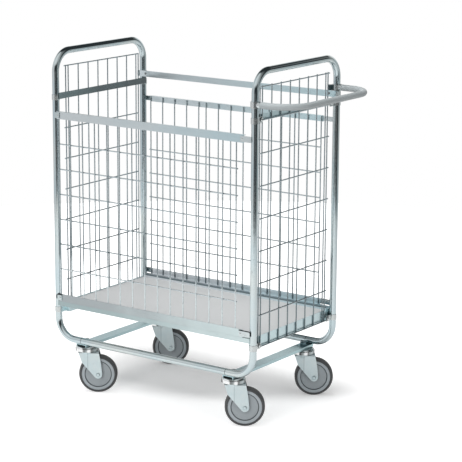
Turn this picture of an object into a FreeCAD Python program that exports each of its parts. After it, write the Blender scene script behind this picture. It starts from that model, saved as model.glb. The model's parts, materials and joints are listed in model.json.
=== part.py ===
import FreeCAD, Part
import math
import os

# Order picking trolley: two bent tube end frames joined by side rails, a board platform,
# wire mesh on four sides, a push handle at one end and four swivel casters.
# Length runs along X with the handle at +X, width along Y with the front at -Y, height along Z.

Vector = FreeCAD.Vector
Rotation = FreeCAD.Rotation
UP = Vector(0, 0, 1)
ACROSS = Vector(0, 1, 0)
ENDWAYS = Vector(1, 0, 0)

# Clearances shared by all pieces
fit_clearance = 0.05
seat_gap = 0.2
butt_gap = 0.3
swivel_gap = 0.4
cut_overrun = 5.0

# Bent tube of the end frames and side rails
tube_diameter = 22.0
tube_wall = 1.5
post_spacing_length = 770.0
post_spacing_width = 450.0
hoop_height = 1112.0
hoop_bend_radius = 65.0
foot_bend_radius = 65.0
foot_stub_length = 33.0
spigot_end_gap = 3.0

# Cross-beams that carry the casters
beam_width = 40.0
beam_height = 9.0
beam_sheet = 3.0
beam_overhang = 1.0

# Casters: places and heading of the trailing wheels
caster_head_height = 33.0
caster_inset_length = 93.0
caster_inset_width = 29.0
caster_trail = 36.0
caster_heading = 35.3

# Caster top plate, bearing and king bolt
plate_radius = 38.0
plate_sheet = 3.0
plate_skirt_height = 16.0
plate_shoulder_radius = 8.0
race_height = 6.0
race_inner_radius = 20.0
race_outer_radius = 30.0
king_bolt_diameter = 12.0
king_head_flats = 19.0
king_head_height = 8.0
king_nut_height = 10.0
king_thread_stand_out = 3.0

# Caster fork
wheel_side_gap = 3.5
fork_sheet = 3.0
fork_bend_radius = 7.0
fork_skirt_gap = 1.0
fork_lead_top = 29.0
fork_lead_low = 16.0
fork_lead_drop = 38.0
fork_trail_top = 38.0
fork_trail_bulge = 2.0
fork_boss_radius = 13.0
fork_crease_trail = 3.0
fork_crease_inset = 4.0
gusset_height = 12.0
gusset_proud = 4.5

# Wheel, tyre and axle
wheel_diameter = 125.0
tyre_width = 32.0
tyre_depth = 9.0
tyre_side_depth = 4.5
tread_flat_width = 17.0
rim_width = 28.0
rim_depth = 10.5
wheel_web_width = 21.0
hub_diameter = 30.0
hub_side_gap = 1.0
hub_draft = 2.0
axle_diameter = 8.0
axle_sleeve_diameter = 12.0
rivet_head_diameter = 13.5
rivet_head_height = 3.5
rivet_crown_share = 0.6

# Platform: board, long edge channels and end profiles
deck_height = 294.0
board_thickness = 15.0
edge_channel_width = 30.0
edge_channel_height = 20.0
edge_channel_rise = 12.0
edge_channel_lip_drop = 5.0
edge_channel_sheet = 1.5
edge_lap_share = 0.55
end_profile_rise = 3.0
end_profile_height = 35.0
end_profile_sheet = 2.0
end_box_width = 18.0
end_shelf_width = 20.0

# Flat strips and the bands that clamp them to the posts
strip_gap = 3.7
end_strip_width = 20.0
tie_bar_width = 20.0
strip_sheet = 2.0
band_sheet = 1.5
band_inset = 1.0
band_tab_length = 16.0
band_hook_length = 7.0
clamp_ear_length = 25.5
clamp_bolt_inset = 7.2
clamp_bolt_head_diameter = 14.0
clamp_bolt_head_height = 4.5
clamp_bolt_tip_length = 1.5
strip_clamp_drop = 4.0
screw_diameter = 4.0
screw_head_diameter = 8.0
screw_head_height = 2.6
screw_tip_length = 3.0

# End mesh panels
wire_diameter = 4.0
end_mesh_row_pitch = 100.0
end_mesh_columns = 8
end_mesh_edge_gap = 12.5
end_mesh_post_gap = 38.0
hoop_grip_gap = 33.0
wire_stub = 3.0

# Front and rear mesh panels with their rails
side_rows = 6
front_column_pitch = 49.6
front_end_gap = 32.0
rear_left_columns = 5
rear_column_pitch = 50.2
rear_odd_gap = 30.0
rear_left_gap = 24.0
rear_right_gap = 54.0
rail_sheet = 1.5
rail_flange = 9.0
side_rail_drop = 72.0
front_top_rail_width = 24.0
rear_top_rail_width = 20.0
front_bottom_rail_width = 25.0
rear_bottom_rail_width = 20.0
rail_end_margin = 3.0
hook_sheet = 2.0
hook_overlap = 12.0
hook_lap_share = 0.6
hook_edge_share = 0.12
rivet_diameter = 4.0
rivet_dome_diameter = 7.0
rivet_dome_height = 1.6

# Push handle
handle_diameter = 20.0
handle_drop = 96.0
handle_reach = 137.0
handle_bend_radius = 86.0
collar_wall = 3.0
collar_width = 20.0
socket_length = 14.0
socket_plug_length = 22.0
handle_wall = 2.0
cap_length = 13.0
cap_inset = 1.5
cap_corner = 3.0

# Places that follow from the sizes above
half_length = post_spacing_length / 2
half_width = post_spacing_width / 2
tube_radius = tube_diameter / 2
bore_radius = tube_radius - tube_wall
caster_height = wheel_diameter + caster_head_height
rail_height = caster_height + beam_height + seat_gap + tube_radius
inner_face = half_length - tube_radius - seat_gap
outer_side = half_width + tube_radius
caster_x = half_length - caster_inset_length
caster_y = half_width - caster_inset_width
axle_height = wheel_diameter / 2
king_radius = king_bolt_diameter / 2
fork_inner_width = tyre_width + wheel_side_gap + wheel_side_gap
fork_half_width = fork_inner_width / 2 + fork_sheet
crown_top = caster_height - plate_skirt_height - fork_skirt_gap
crown_under = crown_top - fork_sheet
race_base = caster_height - plate_sheet - race_height
board_bottom = deck_height - board_thickness
channel_top = deck_height + edge_channel_rise
channel_bottom = channel_top - edge_channel_height
lip_top = channel_top - edge_channel_lip_drop
channel_inner = outer_side - edge_channel_width
end_face = inner_face - end_profile_sheet
end_profile_top = deck_height + end_profile_rise
end_profile_bottom = end_profile_top - end_profile_height
# The posts are straight where the platform's clamps grip them, so the foot bend ends below
foot_bend_room = end_profile_bottom - butt_gap - rail_height
foot_bend = min(foot_bend_radius, foot_bend_room)
seam_place = half_length - foot_bend - foot_stub_length
wire_radius = wire_diameter / 2
band_radius = tube_radius + seat_gap
band_width = end_strip_width - band_inset - band_inset
deck_band_height = end_profile_bottom + band_width / 2
clamp_ear_end = band_radius + band_sheet + clamp_ear_length
clamp_ear_face = seat_gap / 2 + band_sheet
clamp_bolt_reach = clamp_ear_end - clamp_bolt_inset
handle_height = hoop_height - handle_drop
tie_bar_height = handle_height - collar_width / 2 - butt_gap - tie_bar_width / 2
end_strip_height = tie_bar_height - tie_bar_width / 2 - strip_gap - end_strip_width / 2
strip_clamp_height = end_strip_height - strip_clamp_drop
side_rail_base = end_strip_height - side_rail_drop
bottom_rail_base = lip_top + seat_gap

parts = {}


def prism(points, run):
    return Part.Face(Part.makePolygon(points + points[:1])).extrude(run)


def along_x(outline, start, end):
    return prism([Vector(start, y, z) for y, z in outline], ENDWAYS * (end - start))


def along_y(outline, start, end):
    return prism([Vector(x, start, z) for x, z in outline], ACROSS * (end - start))


def along_z(outline, start, end):
    return prism([Vector(x, y, start) for x, y in outline], UP * (end - start))


def plate(low, high):
    size = high - low
    return Part.makeBox(size.x, size.y, size.z, low)


def folded(points, sheet):
    """Closed outline of a sheet folded along the points, its thickness to the right of the way."""
    line = [Vector(a, b, 0) for a, b in points]
    sides = []
    for start, end in zip(line, line[1:]):
        run = end - start
        sides.append(Vector(run.y, -run.x, 0).normalize())
    back = []
    for index, point in enumerate(line):
        before = sides[max(index - 1, 0)]
        after = sides[min(index, len(sides) - 1)]
        back.append(point + (before + after) * (sheet / (1 + before.dot(after))))
    return [(point.x, point.y) for point in line + back[::-1]]


def bent_path(points, radii):
    """Straight runs joined by tangent arcs, with one radius for each inner point."""
    edges = []
    start = points[0]
    for before, corner, after, radius in zip(points, points[1:], points[2:], radii):
        back = (before - corner).normalize()
        ahead = (after - corner).normalize()
        half_turn = (math.pi - back.getAngle(ahead)) / 2
        reach = radius * math.tan(half_turn)
        middle = corner + (back + ahead).normalize() * (radius / math.cos(half_turn) - radius)
        enter = corner + back * reach
        leave = corner + ahead * reach
        edges.append(Part.makeLine(start, enter))
        edges.append(Part.Arc(enter, middle, leave).toShape())
        start = leave
    edges.append(Part.makeLine(start, points[-1]))
    return Part.Wire(edges)


def bent_bar(points, radii, radius):
    ring = Part.Wire(Part.makeCircle(radius, points[0], points[1] - points[0]))
    return bent_path(points, radii).makePipeShell([ring], True, False)


def pin(radius, start, end):
    run = end - start
    return Part.makeCylinder(radius, run.Length, start, run)


def turned(profile):
    face = Part.Face(Part.makePolygon([Vector(r, 0, z) for r, z in profile + profile[:1]]))
    return face.revolve(Vector(), UP, 360)


def aimed(shape, place, axis):
    """Move a shape made along Z from the origin to its place, along the axis."""
    moved = shape.copy()
    moved.Placement = FreeCAD.Placement(place, Rotation(UP, axis))
    return moved


def hexagon(flats, height):
    corner = flats / math.sqrt(3)
    turns = [math.radians(60 * step) for step in range(6)]
    return along_z([(corner * math.cos(turn), corner * math.sin(turn)) for turn in turns], 0, height)


def even_steps(start, end, count):
    return [start + (end - start) * index / (count - 1) for index in range(count)]


def steps_from(start, limit, pitch):
    return [start + index * pitch for index in range(int((limit - start) / pitch) + 1)]


def flip_x(shape):
    return shape.mirror(Vector(), ENDWAYS)


def flip_y(shape):
    return shape.mirror(Vector(), ACROSS)


def four_corners(shape):
    """Copies at all four posts of a shape made at the right front one."""
    right = [shape, flip_y(shape)]
    return right + [flip_x(copy) for copy in right]


# End frames: one tube each, bent into stub, post, top bar, post and stub
def end_frame():
    foot_front = Vector(seam_place + butt_gap, -half_width, rail_height)
    corners = [
        foot_front,
        Vector(half_length, -half_width, rail_height),
        Vector(half_length, -half_width, hoop_height),
        Vector(half_length, half_width, hoop_height),
        Vector(half_length, half_width, rail_height),
        Vector(foot_front.x, half_width, rail_height),
    ]
    radii = [foot_bend, hoop_bend_radius, hoop_bend_radius, foot_bend]
    return bent_bar(corners, radii, tube_radius).cut(bent_bar(corners, radii, bore_radius))


parts["end_frame_right"] = end_frame()
parts["end_frame_left"] = flip_x(parts["end_frame_right"])


# Side rails between the stubs, on spigots inside the tube
def side_rail(y):
    start = Vector(-seam_place, y, rail_height)
    end = Vector(seam_place, y, rail_height)
    return pin(tube_radius, start, end).cut(pin(bore_radius, start, end))


def rail_spigot():
    seam = Vector(seam_place, -half_width, rail_height)
    half_run = ENDWAYS * (foot_stub_length - spigot_end_gap)
    start = seam - half_run
    end = seam + half_run
    outer = pin(bore_radius - fit_clearance, start, end)
    return outer.cut(pin(bore_radius - tube_wall, start, end))


parts["side_rail_front"] = side_rail(-half_width)
parts["side_rail_rear"] = side_rail(half_width)
parts["rail_spigots"] = Part.makeCompound(four_corners(rail_spigot()))


# Cross-beams: shallow channels under the side rails, open downwards
def caster_beam():
    top = caster_height + beam_height
    left = caster_x - beam_width / 2
    right = caster_x + beam_width / 2
    section = folded([(left, caster_height), (left, top), (right, top), (right, caster_height)], beam_sheet)
    reach = half_width + beam_overhang
    beam = along_y(section, -reach, reach)
    for y in (-caster_y, caster_y):
        start = Vector(caster_x, y, caster_height)
        beam = beam.cut(pin(king_radius + fit_clearance, start, start + UP * (beam_height + cut_overrun)))
    return beam


parts["caster_beam_right"] = caster_beam()
parts["caster_beam_left"] = flip_x(parts["caster_beam_right"])


# Caster pieces, made about the swivel axis with the wheel trailing along +X
def rim_edges(shape, radius, height):
    """The round edges of a turned shape at one radius and height."""
    rim = Part.Circle(UP * height, UP, radius).toShape()
    closed = [edge for edge in shape.Edges if edge.Closed]
    return [edge for edge in closed if edge.Vertexes[0].distToShape(rim)[0] < fit_clearance]


def caster_plate():
    top = caster_height
    under = top - plate_sheet
    skirt_end = top - plate_skirt_height
    skirt_inner = plate_radius - plate_sheet
    bore = king_radius + fit_clearance
    cup = turned([
        (bore, top),
        (plate_radius, top),
        (plate_radius, skirt_end),
        (skirt_inner, skirt_end),
        (skirt_inner, under),
        (bore, under),
    ])
    cup = cup.makeFillet(plate_shoulder_radius, rim_edges(cup, plate_radius, top))
    return cup.makeFillet(plate_shoulder_radius - plate_sheet, rim_edges(cup, skirt_inner, under))


def thrust_ring():
    low = race_base + seat_gap
    high = race_base + race_height - seat_gap
    return turned([
        (race_inner_radius, low),
        (race_outer_radius, low),
        (race_outer_radius, high),
        (race_inner_radius, high),
    ])


def king_bolt():
    head_top = crown_under - swivel_gap
    end = caster_height + beam_height + king_nut_height + king_thread_stand_out
    head = aimed(hexagon(king_head_flats, king_head_height), UP * (head_top - king_head_height), UP)
    return head.fuse(pin(king_radius, UP * head_top, UP * end)).removeSplitter()


def king_nut():
    nut = hexagon(king_head_flats, king_nut_height)
    nut = nut.cut(pin(king_radius + fit_clearance, Vector(), UP * king_nut_height))
    return aimed(nut, UP * (caster_height + beam_height), UP)


def arch(x, side, top, radius):
    """Cross-section of the fork at one place along it, rounded at its upper corners."""
    low = axle_height - fork_boss_radius - cut_overrun
    shoulder = top - radius
    flat = side - radius
    lean = radius * math.sqrt(2) / 2
    edges = [
        Part.makeLine(Vector(x, -side, low), Vector(x, -side, shoulder)),
        Part.Arc(
            Vector(x, -side, shoulder),
            Vector(x, -flat - lean, shoulder + lean),
            Vector(x, -flat, top),
        ).toShape(),
        Part.makeLine(Vector(x, -flat, top), Vector(x, flat, top)),
        Part.Arc(
            Vector(x, flat, top),
            Vector(x, flat + lean, shoulder + lean),
            Vector(x, side, shoulder),
        ).toShape(),
        Part.makeLine(Vector(x, side, shoulder), Vector(x, side, low)),
        Part.makeLine(Vector(x, side, low), Vector(x, -side, low)),
    ]
    return Part.Wire(edges)


def fork_body(side, top, radius):
    """Solid between the fork's outer or inner walls, drawn in ahead of the crease."""
    trail_end = caster_trail + fork_boss_radius + cut_overrun
    lead_end = fork_lead_top + cut_overrun
    inset = fork_crease_inset * (lead_end + fork_crease_trail) / (fork_lead_top + fork_crease_trail)
    stations = [
        arch(-lead_end, side - inset, top, radius),
        arch(fork_crease_trail, side, top, radius),
        arch(trail_end, side, top, radius),
    ]
    return Part.makeLoft(stations, True, True)


def fork_outline():
    """Side view of the fork: wide crown, slanted leading edge, bowed trailing edge, round end at the axle."""
    axle = Vector(caster_trail, 0, axle_height)
    lead_top = Vector(-fork_lead_top, 0, crown_top)
    lead_low = Vector(-fork_lead_low, 0, crown_top - fork_lead_drop)
    trail_top = Vector(fork_trail_top, 0, crown_top)
    trail_low = axle + ENDWAYS * fork_boss_radius
    trail_middle = (trail_top + trail_low) / 2 + ENDWAYS * fork_trail_bulge
    run = axle - lead_low
    slant = math.atan2(run.z, run.x) - math.asin(fork_boss_radius / run.Length)
    touch = axle + Vector(math.sin(slant), 0, -math.cos(slant)) * fork_boss_radius
    half_slant = slant / 2
    under = axle + Vector(math.sin(half_slant), 0, -math.cos(half_slant)) * fork_boss_radius
    under_low = axle - UP * fork_boss_radius
    corner = math.pi / 4
    rear_corner = axle + Vector(math.sin(corner), 0, -math.cos(corner)) * fork_boss_radius
    edges = [
        Part.makeLine(trail_top, lead_top),
        Part.makeLine(lead_top, lead_low),
        Part.makeLine(lead_low, touch),
        Part.Arc(touch, under, under_low).toShape(),
        Part.Arc(under_low, rear_corner, trail_low).toShape(),
        Part.Arc(trail_low, trail_middle, trail_top).toShape(),
    ]
    return Part.Face(Part.Wire(edges))


def fork():
    inner_side = fork_half_width - fork_sheet
    walls = fork_body(fork_half_width, crown_top, fork_bend_radius)
    hollow = fork_body(inner_side, crown_under, fork_bend_radius - fork_sheet)
    outline = fork_outline()
    outline.translate(ACROSS * -fork_half_width)
    bracket = walls.common(outline.extrude(ACROSS * (fork_half_width + fork_half_width)))
    gusset_top = fork_half_width + gusset_proud
    gusset_low = UP * (crown_top - gusset_height)
    gusset = Part.makeCone(fork_half_width, gusset_top, gusset_height, gusset_low, UP)
    bracket = bracket.fuse(gusset).cut(hollow)
    bracket = bracket.fuse(turned([
        (king_radius, crown_under),
        (race_outer_radius, crown_top),
        (race_outer_radius, race_base),
        (king_radius, race_base),
    ]).common(plate(
        Vector(-race_outer_radius, -inner_side, crown_top),
        Vector(race_outer_radius, inner_side, race_base),
    )))
    bore = king_radius + fit_clearance
    bracket = bracket.cut(pin(bore, UP * axle_height, UP * caster_height))
    start = Vector(caster_trail, -fork_half_width - cut_overrun, axle_height)
    end = Vector(caster_trail, fork_half_width + cut_overrun, axle_height)
    bracket = bracket.cut(pin(axle_diameter / 2 + fit_clearance, start, end))
    return bracket.removeSplitter()


def on_axle(shape):
    """Lay a turned shape on the axle line, its own axis along Y."""
    return aimed(shape, Vector(caster_trail, 0, axle_height), ACROSS)


def axle_rivet():
    shank = axle_diameter / 2
    head = rivet_head_diameter / 2
    crown = head * rivet_crown_share
    seat = fork_half_width
    end = seat + rivet_head_height
    return on_axle(turned([
        (0, -end),
        (crown, -end),
        (head, -seat),
        (shank, -seat),
        (shank, seat),
        (head, seat),
        (crown, end),
        (0, end),
    ]))


def axle_sleeve():
    half = fork_inner_width / 2 - fit_clearance
    inner = axle_diameter / 2 + fit_clearance
    outer = axle_sleeve_diameter / 2
    return on_axle(turned([(inner, -half), (outer, -half), (outer, half), (inner, half)]))


def wheel_centre():
    bore = axle_sleeve_diameter / 2 + fit_clearance
    hub = hub_diameter / 2
    hub_half = fork_inner_width / 2 - hub_side_gap
    web_half = wheel_web_width / 2
    rim_half = rim_width / 2
    rim_outer = wheel_diameter / 2 - tyre_depth
    rim_inner = rim_outer - rim_depth
    side = [
        (bore, hub_half),
        (hub, hub_half),
        (hub + hub_draft, web_half),
        (rim_inner - hub_draft, web_half),
        (rim_inner, rim_half),
        (rim_outer, rim_half),
    ]
    return on_axle(turned(side + [(r, -z) for r, z in side[::-1]]))


def tyre():
    outer = wheel_diameter / 2
    inner = outer - tyre_depth + fit_clearance
    shoulder = inner + tyre_side_depth
    side_half = tyre_width / 2
    tread_half = tread_flat_width / 2
    side = [(inner, side_half), (shoulder, side_half), (outer, tread_half)]
    return on_axle(turned(side + [(r, -z) for r, z in side[::-1]]))


caster_pieces = {
    "fork": fork(),
    "axle_rivet": axle_rivet(),
    "axle_sleeve": axle_sleeve(),
    "wheel_centre": wheel_centre(),
    "tyre": tyre(),
}
caster_places = {
    "front_left": Vector(-caster_x, -caster_y, 0),
    "front_right": Vector(caster_x, -caster_y, 0),
    "rear_left": Vector(-caster_x, caster_y, 0),
    "rear_right": Vector(caster_x, caster_y, 0),
}
for corner_name, place in caster_places.items():
    for piece_name, piece in caster_pieces.items():
        placed = piece.copy()
        placed.rotate(Vector(), UP, caster_heading)
        placed.translate(place)
        parts[piece_name + "_" + corner_name] = placed


def at_casters(shape):
    copies = []
    for place in caster_places.values():
        copy = shape.copy()
        copy.translate(place)
        copies.append(copy)
    return Part.makeCompound(copies)


parts["caster_plates"] = at_casters(caster_plate())
parts["thrust_rings"] = at_casters(thrust_ring())
parts["king_bolts"] = at_casters(king_bolt())
parts["king_nuts"] = at_casters(king_nut())


# Platform: a board between two edge channels, its ends on the shelves of two end profiles
def deck_board():
    x = end_face - seat_gap
    y = channel_inner - seat_gap
    return plate(Vector(-x, -y, board_bottom), Vector(x, y, deck_height))


def deck_edge():
    section = folded([
        (outer_side, lip_top),
        (outer_side, channel_bottom),
        (channel_inner, channel_bottom),
        (channel_inner, channel_top),
    ], edge_channel_sheet)
    x = end_face - seat_gap
    channel = along_x(section, -x, x)
    reach = half_length - tube_radius * edge_lap_share
    wall = plate(
        Vector(-reach, outer_side - edge_channel_sheet, channel_bottom),
        Vector(reach, outer_side, lip_top),
    )
    return channel.fuse(wall).removeSplitter()


def deck_end():
    box_face = inner_face - end_box_width
    shelf = board_bottom - end_profile_sheet
    section = folded([
        (inner_face, end_profile_top),
        (inner_face, end_profile_bottom),
        (box_face, end_profile_bottom),
        (box_face, shelf),
        (box_face - end_shelf_width, shelf),
    ], end_profile_sheet)
    y = channel_inner - seat_gap
    profile = along_y(section, -y, y)
    web = plate(
        Vector(end_face, -half_width, end_profile_bottom),
        Vector(inner_face, half_width, end_profile_top),
    )
    lid = plate(
        Vector(box_face, y - end_profile_sheet, end_profile_bottom),
        Vector(inner_face, y, shelf),
    )
    return profile.multiFuse([web, lid, flip_y(lid)]).removeSplitter()


parts["deck_board"] = deck_board()
parts["deck_edge_rear"] = deck_edge()
parts["deck_edge_front"] = flip_y(parts["deck_edge_rear"])
parts["deck_end_right"] = deck_end()
parts["deck_end_left"] = flip_x(parts["deck_end_right"])


# Bands and clamps about the posts
def screw_hole(place, axis):
    half_run = axis * (strip_sheet + band_sheet + cut_overrun)
    return pin(screw_diameter / 2 + fit_clearance, place - half_run, place + half_run)


def post_band(sheet_held):
    """Band about a post at the origin, for a strip on its -X side that runs towards +Y."""
    outer = band_radius + band_sheet
    low = -band_width / 2
    high = band_width / 2
    face = -band_radius
    back = face - sheet_held - seat_gap
    ring = Part.makeCylinder(outer, band_width, Vector(0, 0, low), UP)
    ring = ring.cut(Part.makeCylinder(band_radius, band_width, Vector(0, 0, low), UP))
    ring = ring.common(plate(Vector(0, -outer, low), Vector(outer, outer, high)))
    tab_end = outer + band_tab_length
    tail = plate(Vector(face, band_radius, low), Vector(0, outer, high))
    tab = plate(Vector(face, band_radius, low), Vector(face + band_sheet, tab_end, high))
    far_tail = plate(Vector(back - band_sheet, -outer, low), Vector(0, -band_radius, high))
    hook = plate(
        Vector(back - band_sheet, -outer, low),
        Vector(back, band_hook_length - outer, high),
    )
    band = ring.multiFuse([tail, tab, far_tail, hook]).removeSplitter()
    hole = screw_hole(Vector(face, outer + band_tab_length / 2, 0), ENDWAYS)
    return band.cut(hole)


def screw(grip):
    """Pan head screw along Z with its head's seat at the origin."""
    shank = screw_diameter / 2
    head = screw_head_diameter / 2
    crown = head * rivet_crown_share
    tip = -grip - screw_tip_length
    return turned([
        (0, tip),
        (shank, tip),
        (shank, 0),
        (head, 0),
        (crown, screw_head_height),
        (0, screw_head_height),
    ])


def post_clamp():
    """Clamp about a post at the origin, open at the strip on its -X side, with two ears towards +Y."""
    outer = band_radius + band_sheet
    low = -band_width / 2
    high = band_width / 2
    strip_side = seat_gap - band_radius
    ring = Part.makeCylinder(outer, band_width, Vector(0, 0, low), UP)
    ears = plate(Vector(-clamp_ear_face, 0, low), Vector(clamp_ear_face, clamp_ear_end, high))
    clamp = ring.fuse(ears)
    clamp = clamp.cut(Part.makeCylinder(band_radius, band_width, Vector(0, 0, low), UP))
    clamp = clamp.common(plate(Vector(strip_side, -outer, low), Vector(outer, clamp_ear_end, high)))
    slit = plate(Vector(-seat_gap / 2, 0, low), Vector(seat_gap / 2, clamp_ear_end, high))
    clamp = clamp.cut(slit)
    half_run = ENDWAYS * (clamp_ear_face + cut_overrun)
    place = Vector(0, clamp_bolt_reach, 0)
    return clamp.cut(pin(screw_diameter / 2 + fit_clearance, place - half_run, place + half_run))


def clamp_bolt():
    """Round headed bolt along Z with its head's seat at the origin."""
    shank = screw_diameter / 2
    head = clamp_bolt_head_diameter / 2
    crown = head * rivet_crown_share
    tip = -clamp_ear_face - clamp_ear_face - clamp_bolt_tip_length
    return turned([
        (0, tip),
        (shank, tip),
        (shank, 0),
        (head, 0),
        (crown, clamp_bolt_head_height),
        (0, clamp_bolt_head_height),
    ])


def clamps_at(height):
    clamp = post_clamp()
    clamp.translate(Vector(half_length, -half_width, height))
    return Part.makeCompound(four_corners(clamp))


def clamp_bolts_at(height):
    place = Vector(half_length + clamp_ear_face, clamp_bolt_reach - half_width, height)
    return Part.makeCompound(four_corners(aimed(clamp_bolt(), place, ENDWAYS)))


parts["deck_end_bands"] = clamps_at(deck_band_height)
parts["deck_band_screws"] = clamp_bolts_at(deck_band_height)
parts["end_strip_bands"] = clamps_at(strip_clamp_height)
parts["strip_band_screws"] = clamp_bolts_at(strip_clamp_height)


# Flat strips across the ends, on the inner side of the posts
def end_strip():
    return plate(
        Vector(inner_face - strip_sheet, -half_width, end_strip_height - end_strip_width / 2),
        Vector(inner_face, half_width, end_strip_height + end_strip_width / 2),
    )


parts["end_strip_right"] = end_strip()
parts["end_strip_left"] = flip_x(parts["end_strip_right"])


# Tie bar across the rear, held to the rear posts by the same bands turned a quarter
tie_face = half_width - band_radius
tie_end = half_length + tube_radius
tie_screw_x = half_length - band_radius - band_sheet - band_tab_length / 2


def tie_bar():
    bar = plate(
        Vector(-tie_end, tie_face - strip_sheet, tie_bar_height - tie_bar_width / 2),
        Vector(tie_end, tie_face, tie_bar_height + tie_bar_width / 2),
    )
    for x in (-tie_screw_x, tie_screw_x):
        bar = bar.cut(screw_hole(Vector(x, tie_face, tie_bar_height), ACROSS))
    return bar


def tie_band():
    band = post_band(strip_sheet)
    band.rotate(Vector(), UP, 90)
    band.translate(Vector(half_length, half_width, tie_bar_height))
    return band


def tie_bolt():
    place = Vector(tie_screw_x, tie_face - strip_sheet, tie_bar_height)
    return aimed(screw(strip_sheet + band_sheet), place, -ACROSS)


parts["rear_tie_bar"] = tie_bar()
parts["tie_bar_bands"] = Part.makeCompound([tie_band(), flip_x(tie_band())])
parts["tie_bar_bolts"] = Part.makeCompound([tie_bolt(), flip_x(tie_bolt())])


# End mesh: upright wires against the outer face of the strips, level wires outside them
def end_mesh():
    upright_x = inner_face + wire_radius
    level_x = upright_x + wire_diameter
    edge = half_width - end_mesh_post_gap
    last = edge - end_mesh_edge_gap
    columns = [-edge] + even_steps(-last, last, end_mesh_columns) + [edge]
    bottom = end_profile_bottom + wire_radius
    rows = steps_from(bottom, hoop_height - tube_radius - hoop_grip_gap, end_mesh_row_pitch)
    low = rows[0] - wire_stub
    high = rows[-1] + wire_stub
    reach = edge + wire_stub
    wires = [pin(wire_radius, Vector(upright_x, y, low), Vector(upright_x, y, high)) for y in columns]
    wires += [pin(wire_radius, Vector(level_x, -reach, z), Vector(level_x, reach, z)) for z in rows]
    return Part.makeCompound(wires)


parts["end_mesh_right"] = end_mesh()
parts["end_mesh_left"] = flip_x(parts["end_mesh_right"])

# Side panels: upright wires behind the rails, level wires inside them
rail_spans = {
    "front": (-inner_face, half_length - front_end_gap),
    "rear": (rear_left_gap - half_length, half_length - rear_right_gap),
}
front_start, front_end = rail_spans["front"]
rear_start, rear_end = rail_spans["rear"]
front_columns_x = steps_from(front_start + rail_end_margin, front_end - rail_end_margin, front_column_pitch)
rear_left_start = rear_start + rail_end_margin
rear_left_end = rear_left_start + (rear_left_columns - 1) * rear_column_pitch
rear_columns_x = even_steps(rear_left_start, rear_left_end, rear_left_columns)
rear_columns_x += steps_from(rear_left_end + rear_odd_gap, rear_end - rail_end_margin, rear_column_pitch)


def side_mesh(columns, rail_width, side):
    upright_y = side * (outer_side - rail_sheet - wire_radius)
    level_y = upright_y - side * wire_diameter
    low = bottom_rail_base + rail_sheet
    high = side_rail_base + rail_width - rail_sheet
    rows = even_steps(bottom_rail_base + front_bottom_rail_width, side_rail_base, side_rows + 2)[1:-1]
    start = columns[0] - wire_stub
    end = columns[-1] + wire_stub
    wires = [pin(wire_radius, Vector(x, upright_y, low), Vector(x, upright_y, high)) for x in columns]
    wires += [pin(wire_radius, Vector(start, level_y, z), Vector(end, level_y, z)) for z in rows]
    return Part.makeCompound(wires)


def panel_rail(start, end, base, width, flange_at_top):
    """Rail of a rear panel: upright web outside, one flange turned inwards over the wire ends."""
    top = base + width
    inner = outer_side - rail_flange
    if flange_at_top:
        section = folded([(outer_side, base), (outer_side, top), (inner, top)], -rail_sheet)
    else:
        section = folded([(outer_side, top), (outer_side, base), (inner, base)], rail_sheet)
    return along_x(section, start, end)


top_rail_widths = {"front": front_top_rail_width, "rear": rear_top_rail_width}
bottom_rail_widths = {"front": front_bottom_rail_width, "rear": rear_bottom_rail_width}
parts["front_mesh"] = side_mesh(front_columns_x, front_top_rail_width, -1)
parts["rear_mesh"] = side_mesh(rear_columns_x, rear_top_rail_width, 1)
for panel, (start, end) in rail_spans.items():
    top_rail = panel_rail(start, end, side_rail_base, top_rail_widths[panel], True)
    bottom_rail = panel_rail(start, end, bottom_rail_base, bottom_rail_widths[panel], False)
    if panel == "front":
        top_rail = flip_y(top_rail)
        bottom_rail = flip_y(bottom_rail)
    parts[panel + "_top_rail"] = top_rail
    parts[panel + "_bottom_rail"] = bottom_rail


# Hooks: plates riveted outside the rail ends that lap over the posts
def rail_hook(rail_end, base, width):
    """Hook of a rear panel at its right end."""
    face = outer_side + seat_gap
    start = rail_end - hook_overlap
    end = half_length - tube_radius + tube_radius * hook_lap_share
    margin = width * hook_edge_share
    low = base + margin
    high = base + width - margin
    lean = (high - low) * hook_edge_share
    outline = [
        (start, low),
        (end - lean, low),
        (end, low + lean),
        (end, high - lean),
        (end - lean, high),
        (start, high),
    ]
    hook = prism([Vector(x, face, z) for x, z in outline], ACROSS * hook_sheet)
    return hook.cut(hook_rivet_hole(rail_end, base, width))


def hook_rivet_place(rail_end, base, width):
    return Vector(rail_end - hook_overlap / 2, outer_side, base + width / 2)


def hook_rivet_hole(rail_end, base, width):
    place = hook_rivet_place(rail_end, base, width)
    half_run = ACROSS * (hook_sheet + rail_sheet + seat_gap)
    return pin(rivet_diameter / 2 + fit_clearance, place - half_run, place + half_run)


def hook_rivet(rail_end, base, width):
    shank = rivet_diameter / 2
    dome = rivet_dome_diameter / 2
    crown = dome * rivet_crown_share
    grip = hook_sheet + seat_gap + rail_sheet
    rivet = turned([
        (0, -grip),
        (shank, -grip),
        (shank, 0),
        (dome, 0),
        (crown, rivet_dome_height),
        (0, rivet_dome_height),
    ])
    place = hook_rivet_place(rail_end, base, width) + ACROSS * (hook_sheet + seat_gap)
    return aimed(rivet, place, ACROSS)


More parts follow.
